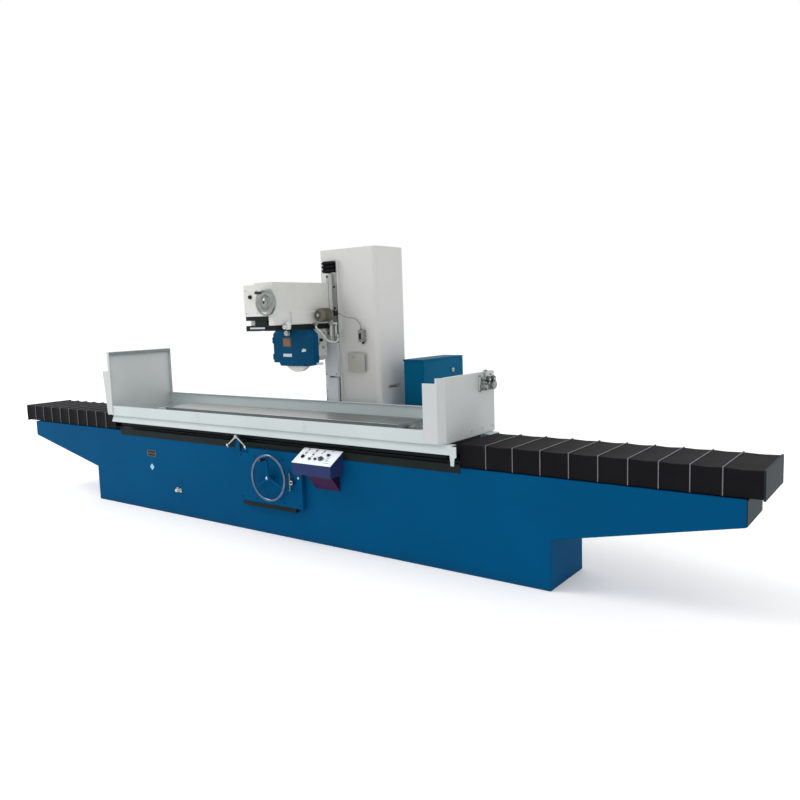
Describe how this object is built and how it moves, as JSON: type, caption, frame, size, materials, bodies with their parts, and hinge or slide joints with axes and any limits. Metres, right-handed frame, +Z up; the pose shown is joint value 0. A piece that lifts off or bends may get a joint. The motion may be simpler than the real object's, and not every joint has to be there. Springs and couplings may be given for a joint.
{
  "type": "surface grinder",
  "caption": "Long-table surface grinder: blue bed with overhanging ends, sliding table between folding way covers, column, saddle and guarded wheelhead.",
  "frame": {"origin": "middle of the bed foot, on the floor", "axes": "+X along the table to the right, +Y from the operator towards the column, +Z up"},
  "size_m": [7.379, 1.752, 2.31],
  "materials": {
    "bed_paint": "semi-gloss blue enamel on cast iron",
    "cabinet_paint": "semi-gloss blue enamel on sheet steel",
    "desk_paint": "semi-gloss navy enamel on sheet steel",
    "face_white": "pale lacquered face plate",
    "lamp_amber": "moulded lamp lens",
    "ground_iron": "ground way surface with an oil film",
    "light_paint": "light grey enamel",
    "satin_steel": "turned and polished steel",
    "dark_grey": "dark grey enamel",
    "dark_steel": "dark machined iron with an oil film",
    "bellows_cloth": "black coated cloth, folded",
    "grey_pvc": "extruded grey sheath",
    "rib_steel": "light grey painted steel strip",
    "chuck_steel": "ground steel poles with thin brass strips",
    "chrome_brass": "plated brass fittings",
    "black_plastic": "moulded black plastic",
    "green_plastic": "moulded green plastic",
    "motor_paint": "grey brown enamel on cast aluminium",
    "white_plastic": "moulded white plastic",
    "cast_alloy": "cast and turned light alloy",
    "guard_paint": "blue enamel",
    "abrasive": "vitrified white abrasive grit"
  },
  "bodies": {
    "bed": {"bed_casting": "bed_paint", "way_rails": "ground_iron", "rear_base": "bed_paint", "column": "light_paint", "column_ways": "ground_iron", "lower_way_cover": "light_paint", "fittings": "satin_steel", "junction_box": "dark_grey", "cabinet": "cabinet_paint", "apron": "bed_paint", "control_box": "desk_paint", "control_face": "face_white", "indicator_lamps": "lamp_amber", "bellows_end_plates": "dark_steel", "bellows_left": "bellows_cloth", "bellows_right": "bellows_cloth", "column_bellows": "bellows_cloth", "saddle_cable": "grey_pvc"},
    "table": {"table_casting": "dark_steel", "magnetic_chuck": "chuck_steel", "table_skirt": "light_paint", "coolant_trough": "light_paint", "guard_left": "light_paint", "guard_right": "light_paint", "coolant_manifold": "chrome_brass"},
    "saddle": {"saddle_slide": "light_paint", "saddle_box": "light_paint", "cross_rails": "dark_steel", "feed_motor": "motor_paint", "upper_way_cover": "light_paint", "coolant_pipes": "white_plastic", "coolant_hose": "white_plastic"},
    "wheelhead": {"wheelhead_housing": "light_paint", "wheel_guard": "guard_paint"},
    "guard_door": {"guard_cover": "guard_paint"},
    "guard_door_knob": {"cover_knob": "white_plastic"},
    "wheel_spindle": {"grinding_wheel": "abrasive", "spindle": "satin_steel"},
    "cross_wheel": {"cross_handwheel": "cast_alloy"},
    "bed_wheel": {"bed_handwheel": "guard_paint"},
    "trip_lever": {"reversing_lever": "satin_steel"},
    "table_lever": {"start_lever": "satin_steel"},
    "door": {"cabinet_door": "cabinet_paint"},
    "lock": {"door_lock": "satin_steel"},
    "valve_a": {"valve_knob_a": "black_plastic"},
    "valve_b": {"valve_knob_b": "black_plastic"},
    "stop_button": {"estop": "black_plastic"},
    "rotary_switch": {"selector": "black_plastic"},
    "push_a": {"button_a": "green_plastic"},
    "push_b": {"button_b": "black_plastic"},
    "push_c": {"button_c": "black_plastic"},
    "rib_1": {"rib_frame_1": "rib_steel"},
    "rib_2": {"rib_frame_2": "rib_steel"},
    "rib_3": {"rib_frame_3": "rib_steel"},
    "rib_4": {"rib_frame_4": "rib_steel"},
    "rib_5": {"rib_frame_5": "rib_steel"},
    "rib_6": {"rib_frame_6": "rib_steel"},
    "rib_7": {"rib_frame_7": "rib_steel"},
    "rib_8": {"rib_frame_8": "rib_steel"},
    "rib_9": {"rib_frame_9": "rib_steel"}
  },
  "joints": [
    {"name": "table_slide", "type": "slide", "parent": "bed", "child": "table", "axis": [1, 0, 0], "range_m": [-1.2, 1.5], "deforming": ["bellows_left", "bellows_right"]},
    {"name": "rib_1_slide", "type": "slide", "parent": "bed", "child": "rib_1", "axis": [1, 0, 0], "range_m": [-0.13, 0.16]},
    {"name": "rib_2_slide", "type": "slide", "parent": "bed", "child": "rib_2", "axis": [1, 0, 0], "range_m": [-0.25, 0.31]},
    {"name": "rib_3_slide", "type": "slide", "parent": "bed", "child": "rib_3", "axis": [1, 0, 0], "range_m": [-0.37, 0.46]},
    {"name": "rib_4_slide", "type": "slide", "parent": "bed", "child": "rib_4", "axis": [1, 0, 0], "range_m": [-0.49, 0.61]},
    {"name": "rib_5_slide", "type": "slide", "parent": "bed", "child": "rib_5", "axis": [1, 0, 0], "range_m": [-0.61, 0.76]},
    {"name": "rib_6_slide", "type": "slide", "parent": "bed", "child": "rib_6", "axis": [1, 0, 0], "range_m": [-0.73, 0.91]},
    {"name": "rib_7_slide", "type": "slide", "parent": "bed", "child": "rib_7", "axis": [1, 0, 0], "range_m": [-0.85, 1.06]},
    {"name": "rib_8_slide", "type": "slide", "parent": "bed", "child": "rib_8", "axis": [1, 0, 0], "range_m": [-0.97, 1.21]},
    {"name": "rib_9_slide", "type": "slide", "parent": "bed", "child": "rib_9", "axis": [1, 0, 0], "range_m": [-1.09, 1.36]},
    {"name": "saddle_lift", "type": "slide", "parent": "bed", "child": "saddle", "axis": [0, 0, 1], "range_m": [-0.295, 0.07], "deforming": ["column_bellows", "saddle_cable"]},
    {"name": "cross_slide", "type": "slide", "parent": "saddle", "child": "wheelhead", "axis": [0, 1, 0], "range_m": [-0.35, 0.02]},
    {"name": "cross_wheel_turn", "type": "hinge", "parent": "saddle", "child": "cross_wheel", "pos_m": [0.038, -0.211, 1.866], "axis": [0, -1, 0], "continuous": true},
    {"name": "spindle_turn", "type": "hinge", "parent": "wheelhead", "child": "wheel_spindle", "pos_m": [-0.09, 0.234, 1.445], "axis": [0, -1, 0], "continuous": true},
    {"name": "guard_door_hinge", "type": "hinge", "parent": "wheelhead", "child": "guard_door", "pos_m": [-0.344, 0.2, 1.425], "axis": [0, 0, -1], "range_deg": [0, 100]},
    {"name": "guard_knob_turn", "type": "hinge", "parent": "guard_door", "child": "guard_door_knob", "pos_m": [-0.15, 0.18, 1.612], "axis": [0, -1, 0], "continuous": true},
    {"name": "bed_wheel_turn", "type": "hinge", "parent": "bed", "child": "bed_wheel", "pos_m": [0.085, -0.3, 0.494], "axis": [0, -1, 0], "continuous": true},
    {"name": "trip_lever_swing", "type": "hinge", "parent": "bed", "child": "trip_lever", "pos_m": [-0.345, -0.275, 0.784], "axis": [0, -1, 0], "range_deg": [-14, 14]},
    {"name": "table_lever_swing", "type": "hinge", "parent": "bed", "child": "table_lever", "pos_m": [0.307, -0.31, 0.474], "axis": [0, -1, 0], "range_deg": [-35, 35]},
    {"name": "door_hinge", "type": "hinge", "parent": "bed", "child": "door", "pos_m": [0.882, 0.695, 0.7], "axis": [0, 0, -1], "range_deg": [0, 110]},
    {"name": "lock_turn", "type": "hinge", "parent": "door", "child": "lock", "pos_m": [0.88, 1.141, 1.248], "axis": [1, 0, 0], "range_deg": [0, 90]},
    {"name": "valve_a_turn", "type": "hinge", "parent": "table", "child": "valve_a", "pos_m": [1.75, 0.219, 1.268], "axis": [1, 0, 0], "range_deg": [0, 270]},
    {"name": "valve_b_turn", "type": "hinge", "parent": "table", "child": "valve_b", "pos_m": [1.75, 0.285, 1.268], "axis": [1, 0, 0], "range_deg": [0, 270]},
    {"name": "rotary_switch_turn", "type": "hinge", "parent": "bed", "child": "rotary_switch", "pos_m": [0.46305, -0.3382, 0.69408], "axis": [0, -0.5, 0.866], "range_deg": [-45, 45]},
    {"name": "stop_button_press", "type": "slide", "parent": "bed", "child": "stop_button", "axis": [0, 0.5, -0.866], "range_m": [0, 0.005], "stiffness_N_per_m": 600, "springref_m": -0.002},
    {"name": "push_a_press", "type": "slide", "parent": "bed", "child": "push_a", "axis": [0, 0.5, -0.866], "range_m": [0, 0.005], "stiffness_N_per_m": 600, "springref_m": -0.002},
    {"name": "push_b_press", "type": "slide", "parent": "bed", "child": "push_b", "axis": [0, 0.5, -0.866], "range_m": [0, 0.005], "stiffness_N_per_m": 600, "springref_m": -0.002},
    {"name": "push_c_press", "type": "slide", "parent": "bed", "child": "push_c", "axis": [0, 0.5, -0.866], "range_m": [0, 0.005], "stiffness_N_per_m": 600, "springref_m": -0.002}
  ],
  "couplings": [
    {"joint": "rib_1_slide", "follows": "table_slide", "ratio": 0.1},
    {"joint": "rib_2_slide", "follows": "table_slide", "ratio": 0.2},
    {"joint": "rib_3_slide", "follows": "table_slide", "ratio": 0.3},
    {"joint": "rib_4_slide", "follows": "table_slide", "ratio": 0.4},
    {"joint": "rib_5_slide", "follows": "table_slide", "ratio": 0.5},
    {"joint": "rib_6_slide", "follows": "table_slide", "ratio": 0.6},
    {"joint": "rib_7_slide", "follows": "table_slide", "ratio": 0.7},
    {"joint": "rib_8_slide", "follows": "table_slide", "ratio": 0.8},
    {"joint": "rib_9_slide", "follows": "table_slide", "ratio": 0.9},
    {"joint": "cross_wheel_turn", "follows": "cross_slide", "rad_per_m": 125.66}
  ]
}
